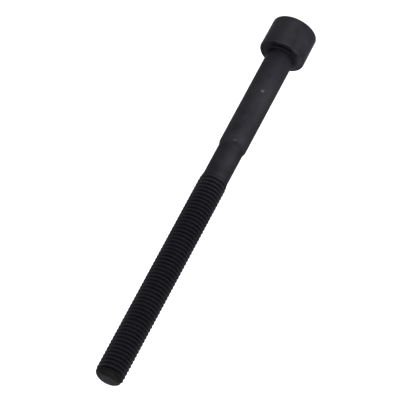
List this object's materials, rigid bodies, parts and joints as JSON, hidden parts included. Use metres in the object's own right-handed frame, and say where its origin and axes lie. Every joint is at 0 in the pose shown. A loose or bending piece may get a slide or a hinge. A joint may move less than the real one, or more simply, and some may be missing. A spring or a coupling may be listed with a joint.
{
  "type": "cylinder head bolt",
  "caption": "Long waisted steel engine bolt with a smooth cylindrical head, a twelve-point drive socket, a stepped shank and a coarse right-hand thread.",
  "frame": {"origin": "centre of the flat top of the head, which the bolt stands on", "axes": "+Z along the bolt's axis, from the head's top towards the thread's point; X and Y across the head, each through two opposite points of the socket"},
  "size_m": [0.0168, 0.0168, 0.1541],
  "materials": {
    "black_steel": "satin black oxide over quenched and tempered steel"
  },
  "bodies": {
    "root": {"head_bolt": "black_steel"}
  },
  "joints": []
}
